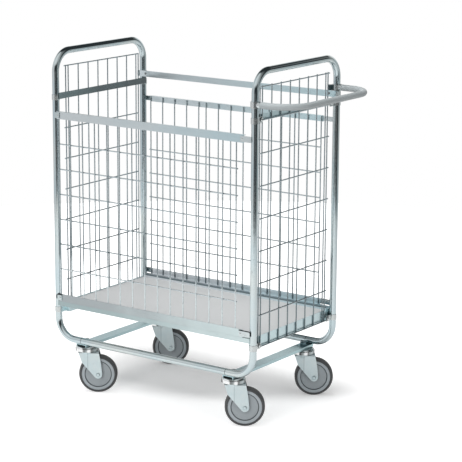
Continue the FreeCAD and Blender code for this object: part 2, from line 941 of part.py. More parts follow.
hooks = []
hook_rivets = []
for panel, (start, end) in rail_spans.items():
    for base, width, level in (
        (side_rail_base, top_rail_widths[panel], "_top_rail"),
        (bottom_rail_base, bottom_rail_widths[panel], "_bottom_rail"),
    ):
        rail = parts[panel + level]
        for rail_end, at_left in ((end, False), (-start, True)):
            pieces = [
                rail_hook(rail_end, base, width),
                hook_rivet(rail_end, base, width),
                hook_rivet_hole(rail_end, base, width),
            ]
            if at_left:
                pieces = [flip_x(piece) for piece in pieces]
            if panel == "front":
                pieces = [flip_y(piece) for piece in pieces]
            hooks.append(pieces[0])
            hook_rivets.append(pieces[1])
            rail = rail.cut(pieces[2])
        parts[panel + level] = rail
parts["panel_hooks"] = Part.makeCompound(hooks)
parts["hook_rivets"] = Part.makeCompound(hook_rivets)


# Push handle: a coated tube on two collars that are clamped round the posts at the handle end
collar_outer = tube_radius + seat_gap + collar_wall
handle_start = half_length + collar_outer + socket_length / 2
handle_end = half_length + handle_reach
handle_plug_radius = handle_diameter / 2 - handle_wall


def handle_tube():
    corners = [
        Vector(handle_start, -half_width, handle_height),
        Vector(handle_end, -half_width, handle_height),
        Vector(handle_end, half_width, handle_height),
        Vector(handle_start, half_width, handle_height),
    ]
    radii = [handle_bend_radius, handle_bend_radius]
    bore = handle_plug_radius + fit_clearance
    return bent_bar(corners, radii, handle_diameter / 2).cut(bent_bar(corners, radii, bore))


def handle_collar():
    """Collar about the right rear post, with the socket that the handle tube is pushed on to."""
    low = Vector(half_length, half_width, handle_height - collar_width / 2)
    centre = Vector(half_length, half_width, handle_height)
    ring = Part.makeCylinder(collar_outer, collar_width, low, UP)
    shoulder = Vector(handle_start - seat_gap, half_width, handle_height)
    plug_end = Vector(handle_start + socket_plug_length, half_width, handle_height)
    socket = pin(handle_diameter / 2, centre, shoulder)
    plug = pin(handle_plug_radius, centre, plug_end)
    collar = ring.multiFuse([socket, plug])
    post = Part.makeCylinder(tube_radius + seat_gap, collar_width, low, UP)
    return collar.cut(post).removeSplitter()


def handle_cap():
    """Moulded cap over the collar's clamp screw, on the inner corner of the right rear post."""
    near = collar_outer + seat_gap
    far = near + cap_length
    half = collar_width / 2 - cap_inset
    outline = [
        (near - cap_corner, -half),
        (far - cap_corner, -half),
        (far, cap_corner - half),
        (far, half - cap_corner),
        (far - cap_corner, half),
        (near - cap_corner, half),
    ]
    cap = along_z(outline, -half, half)
    cap = cap.cut(Part.makeCylinder(near, collar_width, Vector(0, 0, -collar_width / 2), UP))
    cap.rotate(Vector(), UP, 225)
    cap.translate(Vector(half_length, half_width, handle_height))
    return cap


parts["handle_tube"] = handle_tube()
parts["handle_collars"] = Part.makeCompound([handle_collar(), flip_y(handle_collar())])
parts["handle_caps"] = Part.makeCompound([handle_cap(), flip_y(handle_cap())])

# Stand the trolley on the floor with the middle of its whole outline at the origin
whole = Part.makeCompound(list(parts.values())).optimalBoundingBox(False, False)
origin_shift = Vector(-(whole.XMin + whole.XMax) / 2, -(whole.YMin + whole.YMax) / 2, -whole.ZMin)
os.makedirs("parts", exist_ok=True)
for node, shape in parts.items():
    shape.translate(origin_shift)
    shape.exportStep("parts/" + node + ".step")
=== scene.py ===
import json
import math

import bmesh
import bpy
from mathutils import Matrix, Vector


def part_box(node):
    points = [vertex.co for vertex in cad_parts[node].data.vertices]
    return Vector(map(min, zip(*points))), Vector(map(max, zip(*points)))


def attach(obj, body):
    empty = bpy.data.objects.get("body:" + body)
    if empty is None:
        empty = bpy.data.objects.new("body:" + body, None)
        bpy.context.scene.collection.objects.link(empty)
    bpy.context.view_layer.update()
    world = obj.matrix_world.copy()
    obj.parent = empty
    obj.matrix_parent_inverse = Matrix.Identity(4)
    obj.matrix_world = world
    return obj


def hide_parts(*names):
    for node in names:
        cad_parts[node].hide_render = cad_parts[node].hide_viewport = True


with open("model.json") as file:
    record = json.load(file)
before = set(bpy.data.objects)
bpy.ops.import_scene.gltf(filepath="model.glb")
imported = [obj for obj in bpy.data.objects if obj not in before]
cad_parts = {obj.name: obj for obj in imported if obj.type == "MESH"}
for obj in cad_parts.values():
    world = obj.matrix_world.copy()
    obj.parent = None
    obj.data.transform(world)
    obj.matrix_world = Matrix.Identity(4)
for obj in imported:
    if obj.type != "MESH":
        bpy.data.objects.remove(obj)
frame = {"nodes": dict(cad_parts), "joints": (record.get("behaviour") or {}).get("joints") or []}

# %% [markdown]
# # An order picking trolley
# The trolley stands in a warehouse aisle and is pushed from its right end. Two bent tube end frames
# carry a board platform, wire panels close its four sides, and four swivel casters let it roll.
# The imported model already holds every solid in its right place, so this lesson gives each solid the
# finish of the real material, models the small fasteners and welds that the solids leave plain, and
# then sets up a studio and a camera that look at the trolley as the photograph does.

nodes = frame["nodes"]
joints = {joint["name"]: joint for joint in frame["joints"]}
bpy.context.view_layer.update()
corners = ("front_left", "front_right", "rear_left", "rear_right")


# %% [markdown]
# ## Where things are
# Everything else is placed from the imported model. The four posts belong to the two end frames, so the
# middle of their boxes is the middle of the trolley. Reading it from the frame keeps the camera and the
# fittings where they belong if a size changes.

# %% Find the middle of the trolley
left_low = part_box("end_frame_left")[0]
right_low, right_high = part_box("end_frame_right")
middle = Vector(((left_low.x + right_high.x) / 2, (right_low.y + right_high.y) / 2, 0))
print("The posts stand about", tuple(round(value, 4) for value in middle))


# %% [markdown]
# ## The camera
# A camera in Blender looks along its own -Z, with +X to the right and +Y up. The photograph is taken with
# a long lens from the front right corner and looks down a little. The view is written as a yaw, a pitch and a
# small roll, and the camera then backs away along its own line of sight. Building the matrix from three unit
# vectors is clearer than guessing Euler angles, because each column can be read.

# %% Place the camera
camera_yaw = math.radians(35.28)
camera_pitch = math.radians(12.75)
camera_roll = math.radians(0.34)
camera_distance = 6.0165
camera_target_height = 0.56
camera_slide_right = 0.1151
camera_slide_up = -0.0175
image_size = 462
focal_pixels = 1875.3
sensor_width = 36.0
camera_clip_end = 60

level_ahead = Vector((-math.sin(camera_yaw), math.cos(camera_yaw), 0))
level_right = Vector((math.cos(camera_yaw), math.sin(camera_yaw), 0))
ahead = level_ahead * math.cos(camera_pitch) - Vector((0, 0, math.sin(camera_pitch)))
level_up = level_right.cross(ahead)
right = level_right * math.cos(camera_roll) + level_up * math.sin(camera_roll)
up = level_up * math.cos(camera_roll) - level_right * math.sin(camera_roll)
eye = middle + Vector((0, 0, camera_target_height)) - ahead * camera_distance
eye += right * camera_slide_right + up * camera_slide_up

camera_data = bpy.data.cameras.new("photo_camera")
camera_data.sensor_width = sensor_width
camera_data.lens = focal_pixels * sensor_width / image_size
camera_data.clip_end = camera_clip_end
camera = bpy.data.objects.new("photo_camera", camera_data)
camera.matrix_world = Matrix((right, up, -ahead)).transposed().to_4x4()
camera.location = eye
bpy.context.scene.collection.objects.link(camera)
bpy.context.scene.camera = camera
print("The lens is", round(camera_data.lens, 1), "mm long")


# %% [markdown]
# ## Shader sums as Python
# A finish is a small network of nodes. Wiring each Math node by hand hides the idea behind it, so one class
# wraps a socket and lets Python's own operators add the Math nodes: `1 - mask` reads as it is meant.
# Every other node comes from one method, which takes the node's type, its settings and its inputs. The
# directions that a finish may ask for have names, because a name reads better than three numbers.

# %% Wrap a socket
class Signal:
    """A number or a colour that flows out of a socket of one network."""

    def __init__(self, network, socket):
        self.network = network
        self.socket = socket

    def maths(self, operation, first, second=0.0):
        return self.network.node("Math", {"operation": operation}, {0: first, 1: second})

    def __add__(self, other):
        return self.maths("ADD", self, other)

    def __radd__(self, other):
        return self.maths("ADD", other, self)

    def __sub__(self, other):
        return self.maths("SUBTRACT", self, other)

    def __rsub__(self, other):
        return self.maths("SUBTRACT", other, self)

    def __mul__(self, other):
        return self.maths("MULTIPLY", self, other)

    def __rmul__(self, other):
        return self.maths("MULTIPLY", other, self)

    def __truediv__(self, other):
        return self.maths("DIVIDE", self, other)

    def __rtruediv__(self, other):
        return self.maths("DIVIDE", other, self)

    def __abs__(self):
        return self.maths("ABSOLUTE", self)

    def over(self, edge, soft):
        """0 below the edge and 1 above it, with a soft step between."""
        spread = {"From Min": edge - soft, "From Max": edge + soft}
        return self.network.node("MapRange", {"interpolation_type": "SMOOTHSTEP"}, {"Value": self, **spread})


# %% Wrap a node tree
class Network:
    """A node tree whose nodes are added one call at a time."""

    def __init__(self, tree):
        self.tree = tree

    def feed(self, node, inputs):
        for key, value in inputs.items():
            if isinstance(value, Signal):
                self.tree.links.new(value.socket, node.inputs[key])
            else:
                node.inputs[key].default_value = value

    def node(self, kind, settings=None, inputs=None, output=0):
        made = self.tree.nodes.new("ShaderNode" + kind)
        for key, value in (settings or {}).items():
            if key == "stops":
                ramp = made.color_ramp.elements
                while len(ramp) < len(value):
                    ramp.new(1.0)
                for stop, (place, colour) in zip(ramp, value):
                    stop.position = place
                    stop.color = colour
            else:
                setattr(made, key, value)
        self.feed(made, inputs or {})
        return Signal(self, made.outputs[output])

    def blend(self, share, first, second):
        """A colour that goes from the first to the second as share goes from 0 to 1."""
        return self.node("Mix", {"data_type": "RGBA"}, {0: share, 6: first, 7: second}, 2)

    def along(self, vector, axis):
        """How far a vector goes along an axis."""
        return self.node("VectorMath", {"operation": "DOT_PRODUCT"}, {0: vector, 1: axis}, "Value")


# %% Wrap a material
lengthways = (1, 0, 0)
crossways = (0, 1, 0)
upwards = (0, 0, 1)
to_front = (0, -1, 0)


class Finish(Network):
    """A material with one Principled shader and the nodes that feed it."""

    def __init__(self, name, **fixed):
        self.material = bpy.data.materials.new(name)
        self.material.use_nodes = True
        super().__init__(self.material.node_tree)
        self.shader = self.tree.nodes["Principled BSDF"]
        self.show(**fixed)

    def place(self, scale=(1, 1, 1), turn=(0, 0, 0), shift=(0, 0, 0)):
        """Object coordinates, scaled, turned and shifted."""
        coordinates = self.node("TexCoord", output="Object")
        settings = {"Vector": coordinates, "Scale": scale, "Rotation": turn, "Location": shift}
        return self.node("Mapping", {}, settings)

    def normal(self):
        """The way that the surface faces."""
        return self.node("NewGeometry", output="Normal")

    def height(self):
        """How high a place lies."""
        return self.along(self.place(), upwards)

    def noise(self, scale, place=None, detail=3.0, roughness=0.55):
        """An uneven pattern between 0 and 1, finer as the scale grows."""
        vector = place or self.place()
        settings = {"Vector": vector, "Scale": scale, "Detail": detail, "Roughness": roughness}
        return self.node("TexNoise", {}, settings, "Fac")

    def scuffs(self, scale, edge, soft, place=None):
        """1 on small ragged marks, and 0 off them."""
        return self.noise(scale, place, detail=5.0, roughness=0.7).over(edge, soft)

    def cells(self, scale):
        """Round spots side by side."""
        return self.node("TexVoronoi", {"feature": "SMOOTH_F1"}, {"Vector": self.place(), "Scale": scale})

    def bump(self, height, distance, strength):
        return self.node("Bump", {}, {"Height": height, "Distance": distance, "Strength": strength})

    def show(self, **inputs):
        self.feed(self.shader, {key.replace("_", " "): value for key, value in inputs.items()})
        return self.material


def tint(red, green, blue):
    return (red, green, blue, 1.0)


def wear(material, names):
    """Give the named nodes one material and nothing else."""
    for name in names:
        slots = nodes[name].data.materials
        slots.clear()
        slots.append(material)
    print(material.name, "covers", len(names), "nodes")


# %% [markdown]
# ## Bright zinc on the bent tube
# The tube is electroplated with bright zinc, which looks like a cool, slightly blue mirror with a faint
# haze. It is a metal, so its colour is the colour of its reflections. A broad noise shifts that colour
# between a blue and a greener grey, as the passivation does, and a finer noise moves the roughness, so
# the highlights break up a little instead of running like chrome. Dull grey marks stand where the
# tube was gripped in the bending tool and where it was handled. The side rails are butted to the end
# frames, and a dark line is drawn about the tube at each butt seam.

# %% Tube finish
seam_half_width = 0.0009
seam_soft = 0.0004


def tube_finish():
    finish = Finish("bright_zinc_tube", Metallic=1.0, IOR=1.5)
    cloud = finish.noise(7.0)
    haze = finish.noise(90.0, detail=4.0)
    marks = finish.scuffs(38.0, 0.68, 0.07, finish.place(scale=(1, 1, 0.4)))
    zinc = finish.blend(cloud.over(0.5, 0.22), tint(0.56, 0.665, 0.70), tint(0.66, 0.715, 0.71))
    plated = finish.blend(marks * 0.45, zinc, tint(0.46, 0.50, 0.51))
    along_rail = finish.along(finish.place(), lengthways)
    clear = 1.0
    for rail_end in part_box("side_rail_front"):
        clear = clear * abs(along_rail - rail_end.x).over(seam_half_width, seam_soft)
    colour = finish.blend(clear, tint(0.10, 0.12, 0.125), plated)
    roughness = 0.06 + 0.08 * haze + 0.05 * cloud + 0.16 * marks
    return finish.show(Base_Color=colour, Roughness=roughness, Normal=finish.bump(haze, 0.00005, 0.4))


tube_nodes = ["end_frame_left", "end_frame_right", "side_rail_front", "side_rail_rear", "rail_spigots"]
wear(tube_finish(), tube_nodes)


# %% [markdown]
# ## Zinc on folded sheet and strip
# The rails, profiles and strips are cut from rolled sheet before they are plated. Rolling leaves fine lines
# along the sheet, so the noise here is stretched: small across the sheet and long along it. The tint also
# drifts slowly along a long rail, from grey to blue, partly as the passivation does and partly as painted
# reflection, so the colour follows the place along the rail as well as the noise. Painted shade darkens the
# top of a platform edge's inner wall, where a panel's rail stands behind it. The normal picks out the wall's
# inner face.

# %% Sheet finishes
# Height and softness of the painted shade band on a platform edge's inner wall.
shade_band_height = 0.0058
shade_band_soft = 0.0008


def sheet_finish(name, start_tint, end_tint, run, half_run, along, metal=1.0, shaded_side=None):
    finish = Finish(name, Metallic=metal, IOR=1.5)
    cloud = finish.noise(9.0)
    lines = finish.noise(1.0, finish.place(scale=along), detail=2.0)
    scuffs = finish.scuffs(60.0, 0.66, 0.08)
    # The drift along the rail is partly passivation tint and partly painted reflection.
    drift = (finish.along(finish.place(), run) + 0.5 * (cloud - 0.5)).over(0.0, half_run)
    zinc = finish.blend(drift, start_tint, end_tint)
    colour = finish.blend(scuffs * 0.35 + cloud * 0.2, zinc, tint(0.50, 0.53, 0.545))
    # Painted shade on the top of the inner wall of a platform edge.
    if shaded_side:
        inner = finish.along(finish.normal(), shaded_side).over(0.6, 0.2)
        wall_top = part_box("deck_edge_rear")[1].z
        high = finish.height().over(wall_top - shade_band_height, shade_band_soft)
        colour = finish.blend(inner * high * 0.92, colour, tint(0.10, 0.145, 0.165))
    roughness = 0.20 + 0.12 * lines + 0.08 * cloud + 0.14 * scuffs
    return finish.show(Base_Color=colour, Roughness=roughness, Normal=finish.bump(lines, 0.00004, 0.5))


along_length = (3.0, 900.0, 900.0)
along_width = (900.0, 3.0, 900.0)
length_drift = 0.34
width_drift = 0.25
pale_blue = tint(0.62, 0.73, 0.735)
dull_start = tint(0.70, 0.74, 0.77)
dull_end = tint(0.55, 0.70, 0.75)
rear_rails = ["rear_top_rail", "rear_tie_bar"]
# Each part has its own pair of tints, set to how light or dark that part looks: lighter and darker copies of
# one zinc, as painted reflection.
sheet_tints = {
    "front_panel_zinc_sheet": (tint(0.70, 0.76, 0.77), tint(0.57, 0.72, 0.76), 1.0, None, ["front_top_rail"]),
    "rear_panel_zinc_sheet": (tint(0.75, 0.84, 0.86), tint(0.63, 0.82, 0.86), 1.0, None, rear_rails),
    "low_panel_zinc_sheet": (tint(0.39, 0.43, 0.445), pale_blue, 1.0, None, ["front_bottom_rail"]),
    "platform_zinc_sheet": (tint(0.37, 0.465, 0.475), pale_blue, 1.0, crossways, ["deck_edge_front"]),
    "hook_zinc_sheet": (tint(0.60, 0.69, 0.70), tint(0.66, 0.72, 0.725), 1.0, None, ["panel_hooks"]),
    "dull_zinc_sheet": (dull_start, dull_end, 0.4, None, ["rear_bottom_rail"]),
    "dull_platform_zinc_sheet": (dull_start, dull_end, 0.4, to_front, ["deck_edge_rear"]),
}
for name, (start_tint, end_tint, metal, shaded_side, names) in sheet_tints.items():
    zinc = sheet_finish(name, start_tint, end_tint, lengthways, length_drift, along_length, metal, shaded_side)
    wear(zinc, names)
beam_nodes = ["caster_beam_left", "caster_beam_right"]
end_nodes = ["deck_end_left", "deck_end_right", "end_strip_right"]
# These tints are also painted reflection on one zinc. The left end strip's dark pair is painted shade, while
# its twin on the right is bright.
cross_tints = {
    "beam_zinc_sheet": (tint(0.43, 0.60, 0.635), tint(0.49, 0.67, 0.69), beam_nodes),
    "end_zinc_sheet": (tint(0.66, 0.82, 0.85), tint(0.66, 0.80, 0.83), end_nodes),
    "painted_shade_strip_zinc_sheet": (tint(0.28, 0.36, 0.37), tint(0.14, 0.16, 0.17), ["end_strip_left"]),
}
for name, (start_tint, end_tint, names) in cross_tints.items():
    wear(sheet_finish(name, start_tint, end_tint, crossways, width_drift, along_width), names)


# %% [markdown]
# ## Zinc on small bands, bolts and collars
# Small parts are barrel plated: they tumble together in the bath, so they come out duller, with tiny dents.
# A cell pattern gives the dents, because a Voronoi texture makes round spots with clear borders. The big
# bolts of the clamps carry a painted highlight on the crown of the head and a painted dark reflection down
# its sides, which the normal tells apart, because only the crown looks along the bolt. The king bolts and
# nuts of the casters are painted dark for the shade they sit in.

# %% Barrel plated finish
def barrel_finish(name, cool, warm, crown_axis=None):
    finish = Finish(name, Metallic=1.0, IOR=1.5)
    cloud = finish.noise(40.0)
    dents = finish.cells(260.0)
    colour = finish.blend(cloud, cool, warm)
    if crown_axis:
        # Painted dark reflection down the sides of a head, while the crown keeps the tint.
        crown = abs(finish.along(finish.normal(), crown_axis)).over(0.62, 0.14)
        colour = finish.blend(crown, tint(0.075, 0.085, 0.09), colour)
    roughness = 0.20 + 0.16 * cloud
    return finish.show(Base_Color=colour, Roughness=roughness, Normal=finish.bump(dents, 0.0002, 0.25))


barrel_zinc = barrel_finish("barrel_plated_zinc", tint(0.58, 0.64, 0.66), tint(0.72, 0.74, 0.72))
bolt_zinc = barrel_finish("dark_bolt_zinc", tint(0.30, 0.34, 0.35), tint(0.40, 0.42, 0.42))
# The clamp bolts' pale tints are a painted highlight.
crown_zinc = barrel_finish("painted_highlight_bolt_zinc", tint(0.74, 0.80, 0.81), tint(0.84, 0.87, 0.87), lengthways)
# Painted shade: the king bolts and nuts are dark for the shade they sit in.
king_zinc = barrel_finish("painted_shade_king_zinc", tint(0.10, 0.165, 0.185), tint(0.16, 0.23, 0.25))
wear(barrel_zinc, ["deck_end_bands", "end_strip_bands", "tie_bar_bands", "handle_collars"])
wear(king_zinc, ["king_bolts", "king_nuts"])


# %% [markdown]
# ## Zinc on welded wire
# The mesh is drawn wire that was welded first and plated after. It is darker than the tube because each
# wire is thin and mirrors its neighbours. Small dull freckles stand where the welding spoiled the surface.
# The lower half of the mesh is painted darker with shade, the uprights more than the level
# wires. A step over the height draws this. An upright's normal has a part along the trolley and a part across
# it, and a level wire's normal is square to its run, so the normal tells them apart. The foot of the
# front mesh, low over the platform, carries a pale painted highlight.

# %% Wire finish
board_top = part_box("deck_board")[1].z
shade_rise = 0.276
shade_soft = 0.12
foot_rise = 0.151
foot_soft = 0.02


def wire_finish(name, painted_pale_foot):
    finish = Finish(name, Metallic=1.0, IOR=1.5)
    cloud = finish.noise(25.0)
    freckle = finish.noise(160.0, detail=2.0).over(0.66, 0.06)
    height = finish.height()
    zinc = finish.blend(freckle * 0.6 + cloud * 0.3, tint(0.60, 0.68, 0.71), tint(0.42, 0.465, 0.48))
    upright = 1.0
    for run in (lengthways, crossways):
        upright = upright * abs(finish.along(finish.normal(), run)).over(0.15, 0.1)
    # Painted shade: darker below a height, the uprights more than the level wires.
    wear_and_shade = (0.35 + 0.65 * upright) * (1 - height.over(board_top + shade_rise, shade_soft))
    colour = finish.blend(0.84 * wear_and_shade, zinc, tint(0.125, 0.165, 0.18))
    if painted_pale_foot:
        # Painted highlight on the foot of the front mesh.
        above_foot = height.over(board_top + foot_rise, foot_soft)
        colour = finish.blend(above_foot, tint(0.72, 0.79, 0.81), colour)
    roughness = 0.20 + 0.12 * cloud + 0.2 * freckle
    return finish.show(Base_Color=colour, Roughness=roughness)


wire_zinc = wire_finish("plated_mesh_wire", False)
wear(wire_finish("plated_front_wire", True), ["front_mesh"])
wear(wire_zinc, ["rear_mesh", "end_mesh_left", "end_mesh_right"])


# %% [markdown]
# ## Zinc on the pressed casters
# A caster's fork is pressed from thicker sheet, which comes out with an even satin face. The finish is pale
# and soft, with a faint grain, so that it reads as light grey beside the bright tube. The round top plates
# and bearing rings are turned and pressed smoother, so they keep more of a shine. A plate's skirt is a small
# round mirror, and the studio about it is plain, so a ramp over the way the skirt faces draws the dark and
# bright bands that such a mirror shows. A line of painted shade darkens the fork's wall where it is creased.
# It stands a little behind the king bolt, so its place is measured from the swivel joint, along the line from
# the king bolt to the axle.

# %% Caster finishes
crease_trail = 0.003
crease_half_width = 0.0013
crease_soft = 0.0010
band_dark = tint(0.085, 0.085, 0.08)
band_grey = tint(0.30, 0.33, 0.33)
band_pale = tint(0.48, 0.55, 0.56)
band_bright = tint(0.92, 0.93, 0.93)
band_stops = [
    (0.03, band_dark),
    (0.09, band_bright),
    (0.32, band_bright),
    (0.38, band_dark),
    (0.50, band_grey),
    (0.56, band_bright),
    (0.65, band_bright),
    (0.71, band_dark),
    (0.77, band_grey),
    (0.90, band_pale),
    (0.98, band_dark),
]


def crease_shade_line(finish, corner):
    """1 on the line of painted shade where a fork's wall is creased, and 0 off it."""
    bolt = Vector(joints["swivel_turn_" + corner]["pos_m"])
    trail = Vector(joints["wheel_roll_" + corner]["pos_m"]) - bolt
    trail.z = 0
    trail.normalize()
    behind = finish.along(finish.place(), trail) - (bolt.dot(trail) + crease_trail)
    return 1 - abs(behind).over(crease_half_width, crease_soft)


def mirror_bands(finish):
    """Dark and bright bands round an upright wall, told by the way it faces across the view."""
    facing = finish.along(finish.normal(), right)
    return finish.node("ValToRGB", {"stops": band_stops}, {"Fac": 0.5 + 0.5 * facing})


def pressing_finish(name, cool, warm, roughness_floor, metal, corner=None, banded=False):
    finish = Finish(name, Metallic=metal, IOR=1.5)
    cloud = finish.noise(22.0)
    grain = finish.noise(420.0, detail=2.0)
    scuffs = finish.scuffs(75.0, 0.67, 0.07)
    zinc = finish.blend(cloud.over(0.5, 0.25), cool, warm)
    colour = finish.blend(scuffs * 0.3, zinc, tint(0.50, 0.53, 0.54))
    if corner:
        # Painted shade along the fork's crease.
        colour = finish.blend(crease_shade_line(finish, corner) * 0.4, colour, tint(0.28, 0.35, 0.37))
    if banded:
        colour = finish.blend(0.9, colour, mirror_bands(finish))
    roughness = roughness_floor + 0.12 * grain + 0.1 * scuffs
    return finish.show(Base_Color=colour, Roughness=roughness, Normal=finish.bump(grain, 0.00005, 0.6))


satin_cool = tint(0.62, 0.73, 0.755)
satin_warm = tint(0.70, 0.78, 0.79)
for corner in corners:
    fork_zinc = pressing_finish("satin_zinc_fork_" + corner, satin_cool, satin_warm, 0.30, 1.0, corner)
    wear(fork_zinc, [piece + "_" + corner for piece in ("fork", "axle_rivet", "axle_sleeve")])
plate_cool = tint(0.66, 0.74, 0.76)
plate_warm = tint(0.76, 0.80, 0.80)
wear(pressing_finish("bright_zinc_plate", plate_cool, plate_warm, 0.05, 0.85, banded=True), ["caster_plates"])
wear(pressing_finish("bright_zinc_ring", plate_cool, plate_warm, 0.05, 0.85), ["thrust_rings"])


# %% [markdown]
# ## The board
# The platform is a chipboard with a pale grey laminate on both faces. Laminate has a fine pebble texture,
# so a small cell bump breaks the highlight, and a slow noise keeps the large face from looking like paper.
# Crates slide over it, so faint scratches run along it. The cut edges show the chips: the surface normal
# tells them from the faces, because only the faces look up or down.

# %% Board finish
def board_finish():
    finish = Finish("grey_laminate_board", Metallic=0.0)
    facing = abs(finish.along(finish.normal(), upwards)).over(0.5, 0.1)
    cloud = finish.noise(4.0)
    speck = finish.noise(700.0, detail=2.0)
    slant = finish.place(scale=(4, 160, 1), turn=(0, 0, 0.3))
    scratch = finish.noise(1.0, slant, detail=4.0, roughness=0.65).over(0.70, 0.04)
    pebble = finish.cells(900.0)
    chips = finish.noise(240.0, finish.place(scale=(1, 1, 2.5)), detail=4.0)
    laminate = finish.blend(cloud * 0.6 + speck * 0.4, tint(0.565, 0.577, 0.582), tint(0.64, 0.652, 0.655))
    wear_and_shade = finish.blend(scratch * 0.3, laminate, tint(0.50, 0.495, 0.49))
    core = finish.blend(chips, tint(0.20, 0.12, 0.06), tint(0.55, 0.40, 0.24))
    colour = finish.blend(facing, core, wear_and_shade)
    roughness = 0.85 - facing * (0.38 - 0.12 * speck - 0.1 * scratch)
    return finish.show(Base_Color=colour, Roughness=roughness, Normal=finish.bump(pebble, 0.00012, 0.35))


wear(board_finish(), ["deck_board"])


# %% [markdown]
# ## The coated push handle and its black caps
# The handle is a steel tube in a grey plastic coat, warm to the hand, faintly grained and lightly scuffed.
# The clamp screws hide under glossy black moulded caps. Both are plastics: no metal, and a fine bump.

# %% Plastic finishes
plastic_grain_depth = 0.0001


def plastic_finish(name, dark, light, roughness_floor, grain_scale):
    finish = Finish(name, Metallic=0.0, IOR=1.46)
    cloud = finish.noise(12.0)
    grain = finish.noise(grain_scale)
    scuffs = finish.scuffs(70.0, 0.66, 0.07)
    colour = finish.blend(cloud * 0.8 + scuffs * 0.2, dark, light)
    roughness = roughness_floor + 0.14 * grain + 0.12 * scuffs
    bump = finish.bump(grain, plastic_grain_depth, 0.5)
    return finish.show(Base_Color=colour, Roughness=roughness, Normal=bump)


coat_dark = tint(0.345, 0.38, 0.39)
coat_light = tint(0.40, 0.435, 0.445)
# The caps' near black carries a faint teal cast, a painted reflection.
cap_dark = tint(0.014, 0.030, 0.034)
cap_light = tint(0.034, 0.058, 0.063)
wear(plastic_finish("grey_handle_coat", coat_dark, coat_light, 0.34, 320.0), ["handle_tube"])
wear(plastic_finish("black_cap_plastic", cap_dark, cap_light, 0.16, 500.0), ["handle_caps"])


# %% [markdown]
# ## Wheels and tyres
# A wheel's colours run in rings about its axle, so its finish needs to know the radius. Each wheel's rolling
# joint gives the axle's place and direction. A Mapping node turns and shifts the object coordinates until the
# axle is the Z axis, and the length of what is left across it is the radius. The plastic centre has a pale
# flange, a dark line of painted shade at the step of its groove and a greyer web with faint turning rings.
# The tyre is dusty where it meets the floor.

# %% Rings about an axle
def axle_place(finish, corner):
    """Object coordinates with a wheel's axle as the Z axis."""
    joint = joints["wheel_roll_" + corner]
    turn = Vector(joint["axis"]).rotation_difference(Vector(upwards))
    shift = -(turn @ Vector(joint["pos_m"]))
    return finish.place(turn=turn.to_euler(), shift=shift)


def radius_of(finish, place):
    """How far a place lies from the Z axis."""
    flat = finish.node("VectorMath", {"operation": "MULTIPLY"}, {0: place, 1: (1, 1, 0)})
    return finish.node("VectorMath", {"operation": "LENGTH"}, {0: flat}, "Value")


# %% Wheel finishes
groove_radius = 0.0430
groove_half_width = 0.0014
groove_soft = 0.0005
flange_soft = 0.0012
ring_rate = 5200.0


def wheel_finish(corner):
    finish = Finish("grey_wheel_plastic_" + corner, Metallic=0.0, IOR=1.48)
    place = axle_place(finish, corner)
    radius = radius_of(finish, place)
    rings = finish.node("Math", {"operation": "SINE"}, {0: radius * ring_rate})
    cloud = finish.noise(30.0, place)
    grain = finish.noise(500.0, place)
    outer = radius.over(groove_radius, flange_soft)
    groove = 1 - abs(radius - groove_radius).over(groove_half_width, groove_soft)
    web = finish.blend(cloud, tint(0.325, 0.36, 0.38), tint(0.385, 0.42, 0.44))
    flange = finish.blend(cloud, tint(0.38, 0.425, 0.45), tint(0.44, 0.48, 0.505))
    clean = finish.blend(outer, web, flange)
    # Painted shade at the step of the groove.
    colour = finish.blend(groove * 0.92, clean, tint(0.055, 0.065, 0.07))
    roughness = 0.40 + 0.12 * grain + 0.1 * groove
    height = rings * 0.3 + grain
    return finish.show(Base_Color=colour, Roughness=roughness, Normal=finish.bump(height, 0.00008, 0.5))


for corner in corners:
    wear(wheel_finish(corner), ["wheel_centre_" + corner])


# %% Tyre finishes
tread_radius = 0.0605
tread_soft = 0.0016


def tyre_finish(corner):
    finish = Finish("dark_tyre_rubber_" + corner, Metallic=0.0, IOR=1.5)
    place = axle_place(finish, corner)
    radius = radius_of(finish, place)
    cloud = finish.noise(45.0, place)
    grain = finish.noise(380.0, place, detail=4.0)
    tread = radius.over(tread_radius, tread_soft) * cloud.over(0.45, 0.25)
    rubber = finish.blend(cloud, tint(0.050, 0.052, 0.054), tint(0.080, 0.083, 0.085))
    colour = finish.blend(tread * 0.5, rubber, tint(0.14, 0.137, 0.132))
    roughness = 0.48 + 0.2 * grain + 0.14 * tread
    return finish.show(Base_Color=colour, Roughness=roughness, Normal=finish.bump(grain, 0.0002, 0.5))


for corner in corners:
    wear(tyre_finish(corner), ["tyre_" + corner])


# %% [markdown]
# ## Modelling by hand, in code
# The fasteners and welds are small, so the solids keep them plain. Here each is modelled once from a
# primitive, with the same operators that a hand would use. An operator acts on whatever is selected, so these
# helpers first deselect everything, then pick faces by where they look or lie.

# %% Pick and push faces
level_limit = 0.9
smooth_angle = 35


def begin(add, **settings):
    """Add a primitive alone and open it for editing."""
    bpy.ops.object.select_all(action="DESELECT")
    add(**settings)
    bpy.ops.object.mode_set(mode="EDIT")
    return bpy.context.object


def pick(test):
    """Select only the faces whose middle and normal pass the test."""
    bpy.ops.mesh.select_mode(type="FACE")
    bpy.ops.mesh.select_all(action="DESELECT")
    data = bpy.context.object.data
    shape = bmesh.from_edit_mesh(data)
    for face in shape.faces:
        face.select_set(bool(test(face.calc_center_median(), face.normal)))
    bmesh.update_edit_mesh(data)


def top_face(centre, normal):
    return normal.z > level_limit


def bottom_face(centre, normal):
    return normal.z < -level_limit


def pull(rise, spread=1.0):
    """Extrude the picked faces along Z and then widen or narrow their end."""
    bpy.ops.mesh.extrude_region_move(TRANSFORM_OT_translate={"value": (0, 0, rise)})
    bpy.ops.transform.resize(value=(spread, spread, 1))


